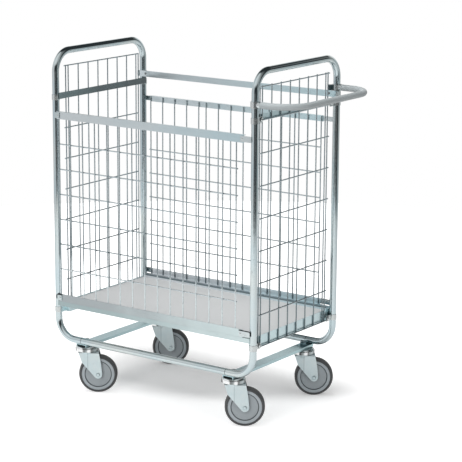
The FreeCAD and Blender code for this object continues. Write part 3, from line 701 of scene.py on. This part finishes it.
def close_up(piece, name, angle=smooth_angle):
    """Leave edit mode, smooth the round faces and name the piece."""
    bpy.ops.object.mode_set(mode="OBJECT")
    bpy.ops.object.shade_smooth_by_angle(angle=math.radians(angle))
    piece.name = name
    print(name, "has", len(piece.data.polygons), "faces")
    return piece


# %% Copy a pattern to its places
def drop(pattern):
    bpy.data.objects.remove(pattern, do_unlink=True)


def copies(pattern, name, places, material):
    """Copy a pattern to every place, join the copies into one piece of the frame and drop the pattern."""
    bpy.ops.object.select_all(action="DESELECT")
    made = []
    for place in places:
        twin = pattern.copy()
        twin.data = pattern.data.copy()
        twin.data.transform(place)
        bpy.context.scene.collection.objects.link(twin)
        twin.select_set(True)
        made.append(twin)
    bpy.context.view_layer.objects.active = made[0]
    bpy.ops.object.join()
    piece = bpy.context.object
    piece.name = name
    piece.data.materials.clear()
    piece.data.materials.append(material)
    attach(piece, "trolley_frame")
    drop(pattern)
    print(name, "holds", len(places), "copies and", len(piece.data.polygons), "faces")
    return piece


# %% [markdown]
# ## Finding the seats
# A node that holds many loose solids is one mesh. To find each solid's box, its triangles are grouped: two
# triangles belong together when they share a corner. Corners are compared by their rounded place, because the
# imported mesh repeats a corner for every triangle.

# %% Split a node into islands
def islands(name):
    """The lowest and highest corner of every loose solid in a node."""
    data = nodes[name].data
    place_of = {}
    corner_of = [place_of.setdefault(tuple(round(c, 5) for c in v.co), len(place_of)) for v in data.vertices]
    parent = list(range(len(place_of)))

    def root(index):
        while parent[index] != index:
            parent[index] = parent[parent[index]]
            index = parent[index]
        return index

    for face in data.polygons:
        first, *others = [corner_of[index] for index in face.vertices]
        for other in others:
            parent[root(other)] = root(first)
    boxes = {}
    for place, index in place_of.items():
        low, high = boxes.setdefault(root(index), (Vector(place), Vector(place)))
        for axis in range(3):
            low[axis] = min(low[axis], place[axis])
            high[axis] = max(high[axis], place[axis])
    return list(boxes.values())


def seat(place, axis):
    """A matrix that takes a pattern's Z to the axis and its origin to the place."""
    turn = Vector(upwards).rotation_difference(Vector(axis)).to_matrix().to_4x4()
    return Matrix.Translation(place) @ turn


for name in ("hook_rivets", "deck_band_screws", "strip_band_screws", "tie_bar_bolts", "front_mesh"):
    print(name, "holds", len(islands(name)), "solids")


# %% [markdown]
# ## Cross-recess screws and bolts
# The clamps are closed by round headed bolts and the tie bar by smaller pan head screws. Both heads are low
# cylinders whose top is drawn in over a few steps, so the cylinder's top face is extruded three times, each
# time a little narrower. The cross recess is cut with a Boolean modifier by two crossed, tapered bars,
# because that is how the punch makes it. The patterns differ only in size, so one function makes them all.

# %% Model the screw
rim_share = 0.38
crown_shares = ((0.27, 0.93), (0.22, 0.82), (0.13, 0.72))
tip_share = 0.1
tip_spread = 0.6
punch_shares = (2.3, 0.48, 1.6)
punch_tip_shares = (0.45, 0.5, 1)


def cross_punch(head_radius, head_height):
    bar = begin(bpy.ops.mesh.primitive_cube_add, size=head_radius / 2, location=(0, 0, head_height))
    bpy.ops.transform.resize(value=punch_shares)
    pick(bottom_face)
    bpy.ops.transform.resize(value=punch_tip_shares)
    bpy.ops.mesh.select_all(action="SELECT")
    bpy.ops.mesh.duplicate()
    bpy.ops.transform.rotate(value=math.pi / 2, orient_axis="Z", center_override=(0, 0, head_height))
    return close_up(bar, "cross_punch")


def screw_pattern(head_radius, head_height, shank_radius, shank_length):
    rim = rim_share * head_height
    screw = begin(bpy.ops.mesh.primitive_cylinder_add, vertices=32, radius=head_radius, depth=rim,
                  location=(0, 0, rim / 2))
    pick(top_face)
    for rise_share, spread in crown_shares:
        pull(head_height * rise_share, spread)
    pick(bottom_face)
    bpy.ops.mesh.inset(thickness=head_radius - shank_radius)
    pull(-(1 - tip_share) * shank_length)
    pull(-tip_share * shank_length, tip_spread)
    screw = close_up(screw, "screw_pattern")
    punch = cross_punch(head_radius, head_height)
    cut = screw.modifiers.new("cross_recess", "BOOLEAN")
    cut.operation = "DIFFERENCE"
    cut.object = punch
    cut.use_self = True
    bpy.context.view_layer.objects.active = screw
    bpy.ops.object.modifier_apply(modifier=cut.name)
    drop(punch)
    return screw


# %% Set the screws
# A head is given by its radius and its height
clamp_head = (0.0070, 0.0045)
tie_head = (0.0040, 0.0026)
screw_shank_radius = 0.0020
first_turn = 0.5
next_turn = 1.7
screw_settings = {
    "deck_band_screws": ("deck_clamp_cross_bolts", "ends", clamp_head, crown_zinc),
    "strip_band_screws": ("strip_clamp_cross_bolts", "ends", clamp_head, crown_zinc),
    "tie_bar_bolts": ("tie_bar_cross_screws", "front", tie_head, bolt_zinc),
}
for node_name, (piece_name, side, (head_radius, head_height), zinc) in screw_settings.items():
    places = []
    for low, high in islands(node_name):
        centre = (low + high) / 2
        outwards = Vector((math.copysign(1, centre.x - middle.x), 0, 0))
        axis = outwards if side == "ends" else Vector(to_front)
        run = abs((high - low).dot(axis))
        spin = Matrix.Rotation(first_turn + next_turn * len(places), 4, "Z")
        places.append(seat(centre + axis * (run / 2 - head_height), axis) @ spin)
    screw = screw_pattern(head_radius, head_height, screw_shank_radius, run - head_height)
    piece = copies(screw, piece_name, places, zinc)
    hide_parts(node_name)


# %% [markdown]
# ## Blind rivets
# The hooks are held by blind rivets. Their domed heads have a small pit in the middle where the pulling stem
# broke off, and that pit is what tells such a rivet from a bolt. The dome grows as the screw's did, and the
# pit is an inset face that is pushed in, with a second inset for the stem's stub.

# %% Model and set the rivets
rivet_radius = 0.0035
rivet_height = 0.0016
rivet_shank = 0.0020
rivet_step = 0.0004
dome_rises = (rivet_step, rivet_step, rivet_height - 3 * rivet_step)
dome_spreads = (0.90, 0.80, 0.72)
pit_inset = 0.0006
pit_depth = 0.0007
pit_spread = 0.9
stub_inset = 0.0003
stub_rise = 0.0003
stub_spread = 0.8


def rivet_pattern(grip):
    rivet = begin(bpy.ops.mesh.primitive_cylinder_add, vertices=24, radius=rivet_radius, depth=rivet_step,
                  location=(0, 0, rivet_step / 2))
    pick(top_face)
    for rise, spread in zip(dome_rises, dome_spreads):
        pull(rise, spread)
    bpy.ops.mesh.inset(thickness=pit_inset)
    pull(-pit_depth, pit_spread)
    bpy.ops.mesh.inset(thickness=stub_inset)
    pull(stub_rise, stub_spread)
    pick(lambda centre, normal: bottom_face(centre, normal) and centre.z < rivet_step / 8)
    bpy.ops.mesh.inset(thickness=rivet_radius - rivet_shank)
    pull(-grip)
    return close_up(rivet, "rivet_pattern")


rivet_boxes = islands("hook_rivets")
rivet_run = rivet_boxes[0][1].y - rivet_boxes[0][0].y
rivet = rivet_pattern(rivet_run - rivet_height)
rivet_places = []
for low, high in rivet_boxes:
    centre = (low + high) / 2
    axis = Vector((0, math.copysign(1, centre.y - middle.y), 0))
    rivet_places.append(seat(centre + axis * (rivet_run / 2 - rivet_height), axis))
rivets = copies(rivet, "blind_hook_rivets", rivet_places, barrel_zinc)
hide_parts("hook_rivets")


# %% [markdown]
# ## Dark bars of painted shade on the lower hooks
# A dark round bar lies along the top of each lower hook and turns down past the end of the hook. It is
# painted shade, drawing the dark line of shade along the hook's top edge. A disc is extruded along the hook,
# spun through a quarter turn for the bend and extruded again for the short leg, whose tip is drawn in. The
# hooks differ in length, so each pattern is made for the length of its hook.

# %% Model the hook shade bar
hook_shade_radius = 0.0018
hook_shade_bend = 0.0050
hook_shade_leg = 0.0080
hook_shade_lap = 0.0020
hook_shade_proud = 0.0007
hook_shade_tip_share = 0.6
merge_distance = 0.00001
# Painted shade: the bar's near black draws the shade along the hook's top edge.
hook_shade_material = barrel_finish("blackened_hook_wire", tint(0.05, 0.06, 0.065), tint(0.08, 0.09, 0.095))


def hook_shade_pattern(run):
    straight = run - hook_shade_bend
    wire = begin(bpy.ops.mesh.primitive_circle_add, vertices=12, radius=hook_shade_radius, fill_type="NGON",
                 location=(0, 0, 0))
    pull(straight)
    bpy.ops.mesh.spin(steps=6, angle=-math.pi / 2, center=(hook_shade_bend, 0, straight), axis=(0, 1, 0))
    bpy.ops.mesh.extrude_region_move(TRANSFORM_OT_translate={"value": (hook_shade_leg, 0, 0)})
    bpy.ops.mesh.extrude_region_move(TRANSFORM_OT_translate={"value": (hook_shade_radius / 2, 0, 0)})
    bpy.ops.transform.resize(value=(1, hook_shade_tip_share, hook_shade_tip_share))
    bpy.ops.mesh.select_all(action="SELECT")
    bpy.ops.mesh.remove_doubles(threshold=merge_distance)
    bpy.ops.mesh.normals_make_consistent(inside=False)
    return close_up(wire, "hook_shade_pattern")


# %% Set the hook shade bars
edge_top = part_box("deck_edge_front")[1].z
for low, high in islands("panel_hooks"):
    if low.z > edge_top:
        continue
    right_hand = (low + high).x / 2 > middle.x
    rear_side = (low + high).y / 2 > middle.y
    along_hook = Vector((1 if right_hand else -1, 0, 0))
    down = Vector((0, 0, -1))
    start = Vector((low.x if right_hand else high.x, (low + high).y / 2, high.z))
    start.y += hook_shade_proud if rear_side else -hook_shade_proud
    turn = Matrix((down, along_hook.cross(down), along_hook)).transposed().to_4x4()
    wire = hook_shade_pattern(high.x - low.x + hook_shade_lap)
    name = ("rear" if rear_side else "front") + ("_right" if right_hand else "_left") + "_hook_wire"
    copies(wire, name, [Matrix.Translation(start) @ turn], hook_shade_material)


# %% [markdown]
# ## Welds on the mesh
# Where two wires cross, resistance welding presses them together and squeezes a small collar of metal out
# between them. There are hundreds of crossings, so one collar has only a few dozen faces: a short eight-sided
# cylinder whose ends are drawn in. The uprights and the level wires are told apart by the longest side of
# their boxes.

# %% Find the crossings
def crossings(name):
    """Where every upright and level wire of a mesh touch, with the direction between them, and the radius."""
    boxes = islands(name)
    uprights = [box for box in boxes if (box[1] - box[0]).z == max(box[1] - box[0])]
    levels = [box for box in boxes if box not in uprights]
    wire_radius = (uprights[0][1].x - uprights[0][0].x) / 2
    square = 0 if name.startswith("end") else 1
    found = []
    for upright in uprights:
        for level in levels:
            lies = all(upright[0][axis] < level[1][axis] + wire_radius for axis in range(3))
            lies = lies and all(level[0][axis] < upright[1][axis] + wire_radius for axis in range(3))
            if lies:
                first = (upright[0] + upright[1]) / 2
                second = (level[0] + level[1]) / 2
                axis = Vector((0, 0, 0))
                axis[square] = second[square] - first[square]
                place = Vector((first.x, first.y, second.z))
                found.append((place + axis / 2, axis.normalized()))
    print(name, "has", len(found), "crossings")
    return found, wire_radius


mesh_names = ("front_mesh", "rear_mesh", "end_mesh_left", "end_mesh_right")
mesh_crossings = {name: crossings(name) for name in mesh_names}


# %% Model and set the welds
weld_radius_share = 0.95
weld_core_share = 0.4
weld_step_share = 0.35
weld_spreads = (0.82, 0.7)
weld_smooth_angle = 70


def weld_pattern(wire_radius):
    weld = begin(bpy.ops.mesh.primitive_cylinder_add, vertices=8, radius=wire_radius * weld_radius_share,
                 depth=wire_radius * weld_core_share, location=(0, 0, 0))
    for way, end_face in ((1, top_face), (-1, bottom_face)):
        pick(end_face)
        for spread in weld_spreads:
            pull(way * wire_radius * weld_step_share, spread)
    return close_up(weld, "weld_pattern", weld_smooth_angle)


for name, (found, wire_radius) in mesh_crossings.items():
    weld = weld_pattern(wire_radius)
    copies(weld, name + "_welds", [seat(place, axis) for place, axis in found], wire_zinc)


# %% [markdown]
# ## The studio
# The photograph has a white background and only a soft shadow under the casters. A round pale floor catches
# that shadow. The floor and the world add a little light of their own for the camera's rays and for
# reflections, so that they read as white and the metal mirrors them, while the lamps stay at a plain level
# for the trolley itself. The floor's own light is weakest under the trolley, where the shadow lies, and grows
# past five lines about it: one under its front, one across its front right corner and one past each end and
# its rear. It grows again towards the rim, so that the rim melts into the white behind it.

# %% Floor
floor_radius = 3.1
shadow_glow = 0.22
open_glow = 0.36
rim_glow = 0.32
rim_distance = 1.2
rim_soft = 0.5
mirror_glow = 0.16
bpy.ops.object.select_all(action="DESELECT")
bpy.ops.mesh.primitive_circle_add(vertices=96, radius=floor_radius, fill_type="NGON", location=(0, 0, 0))
floor = bpy.context.object
floor.name = "studio_floor"
floor_finish = Finish("white_floor", Metallic=0.0, Roughness=0.9, Specular_IOR_Level=0.0,
                      Emission_Strength=1.0)
seen = floor_finish.node("LightPath", output="Is Camera Ray")
looks = seen + floor_finish.node("LightPath", output="Is Transmission Ray")
mirrored = floor_finish.node("LightPath", output="Is Glossy Ray")
about_middle = floor_finish.place(shift=-middle)
to_front_right = (0.63, -0.77, 0)
to_left = (-1, 0, 0)
shadow_edges = [
    (to_front, 0.07, 0.08),
    (to_front_right, 0.07, 0.08),
    (lengthways, 0.44, 0.10),
    (to_left, 0.55, 0.15),
    (crossways, 0.40, 0.15),
]
shade = 1.0
for away, distance, soft in shadow_edges:
    shade = shade * (1 - floor_finish.along(about_middle, away).over(distance, soft))
reach = radius_of(floor_finish, about_middle)
seen_glow = shadow_glow + open_glow * (1 - shade) + rim_glow * reach.over(rim_distance, rim_soft)
glow = looks * seen_glow + mirrored * mirror_glow
black = tint(0.0, 0.0, 0.0)
white = tint(1.0, 1.0, 1.0)
floor_finish.show(Base_Color=tint(0.80, 0.80, 0.80), Emission_Color=floor_finish.blend(glow, black, white))
floor.data.materials.append(floor_finish.material)
print("The floor is", 2 * floor_radius, "m wide")


# %% [markdown]
# ## The room
# Bright zinc shows the room around it, so the room matters as much as the lamps. For the camera and for
# diffuse light the room is plain. For reflections it has what a photographer's studio has: the white backdrop
# ahead, a pale wall at the left, a cooler one at the right and dark gaps between them, which draw the dark
# lines down the tubes. The direction of a ray is turned into an angle about the trolley, and a colour ramp
# paints the room along that angle, with one ramp for low rays, one for level rays and one for high rays.

# %% World
world = bpy.data.worlds.new("white_studio")
world.use_nodes = True
bpy.context.scene.world = world
room = Network(world.node_tree)
room_light = 0.34
level_rise = 0.0
level_soft = 0.06
high_rise = 0.42
high_soft = 0.14


def walls(levels):
    """Ramp stops from angles in degrees, where 0 is towards the camera and 90 is to its right."""
    return [((angle + 180) / 360, colour) for angle, colour in levels]


def grey(level):
    return tint(level, level, level)


gap = tint(0.028, 0.034, 0.037)
pale_wall = tint(0.70, 0.70, 0.72)
cool_wall = tint(0.49, 0.52, 0.525)
backdrop_white = grey(0.95)
low_walls = walls([
    (-180, grey(0.20)), (-150, grey(0.30)), (-124, pale_wall), (-48, pale_wall), (-32, grey(0.34)),
    (-20, gap), (4, grey(0.10)), (14, grey(0.20)), (26, gap), (58, gap), (70, grey(0.25)),
    (82, cool_wall), (124, cool_wall), (150, grey(0.30)), (180, grey(0.20)),
])
middle_walls = walls([
    (-180, backdrop_white), (-135, backdrop_white), (-120, pale_wall), (-56, pale_wall), (-40, grey(0.40)),
    (-28, gap), (44, gap), (54, cool_wall), (62, cool_wall), (75, gap), (115, gap), (135, backdrop_white),
    (180, backdrop_white),
])
high_walls = walls([
    (-180, gap), (-140, gap), (-110, grey(0.65)), (-60, grey(0.95)), (0, grey(0.75)), (50, grey(0.4)),
    (95, gap), (180, gap),
])
ray = room.node("TexCoord", output="Generated")
to_right = room.along(ray, level_right)
to_camera = room.along(ray, -level_ahead)
angle = room.node("Math", {"operation": "ARCTAN2"}, {0: to_right, 1: to_camera})
turn_share = angle / (2 * math.pi) + 0.5
rooms = []
for stops in (low_walls, middle_walls, high_walls):
    rooms.append(room.node("ValToRGB", {"stops": stops}, {"Fac": turn_share}))
low_room, middle_room, high_room = rooms
rise = room.along(ray, upwards)
lower_room = room.blend(rise.over(level_rise, level_soft), low_room, middle_room)
mirrored = room.blend(rise.over(high_rise, high_soft), lower_room, high_room)
lit = room.blend(room.node("LightPath", output="Is Glossy Ray"), grey(room_light), mirrored)
looks = room.node("LightPath", output="Is Camera Ray") + room.node("LightPath", output="Is Transmission Ray")
backdrop = world.node_tree.nodes["Background"]
room.feed(backdrop, {"Color": room.blend(looks, lit, white), "Strength": 1.0})
print("The room lights at", room_light)


# %% [markdown]
# ## The lamps
# One large soft lamp hangs over the trolley and makes the shadow, one stands at the front and two weaker ones
# fill the sides. Their own mirror images would draw hard bars on the tubes that the photograph doesn't have,
# so reflections leave them out.

# %% Lamps
def soft_lamp(name, place, aim, width, height, power):
    data = bpy.data.lights.new(name, "AREA")
    data.shape = "RECTANGLE"
    data.size = width
    data.size_y = height
    data.energy = power
    lamp = bpy.data.objects.new(name, data)
    lamp.location = place
    lamp.rotation_euler = (Vector(aim) - Vector(place)).to_track_quat("-Z", "Y").to_euler()
    lamp.visible_glossy = False
    bpy.context.scene.collection.objects.link(lamp)
    print(name, "gives", power, "W")


trolley_heart = (0, 0, 0.45)
lamp_settings = {
    "overhead_softbox": ((-0.5, -0.4, 3.4), 2.2, 2.2, 70),
    "front_softbox": ((0.6, -4.0, 2.2), 2.4, 2.0, 62),
    "right_softbox": ((3.6, -1.4, 1.8), 1.6, 2.2, 26),
    "left_softbox": ((-3.0, -2.4, 1.6), 1.2, 2.0, 16),
}
for name, (place, width, height, power) in lamp_settings.items():
    soft_lamp(name, place, trolley_heart, width, height, power)


# %% [markdown]
# ## Finish
# The last step sets the view transform to Standard.

# %% Set the view transform
bpy.context.scene.view_settings.view_transform = "Standard"
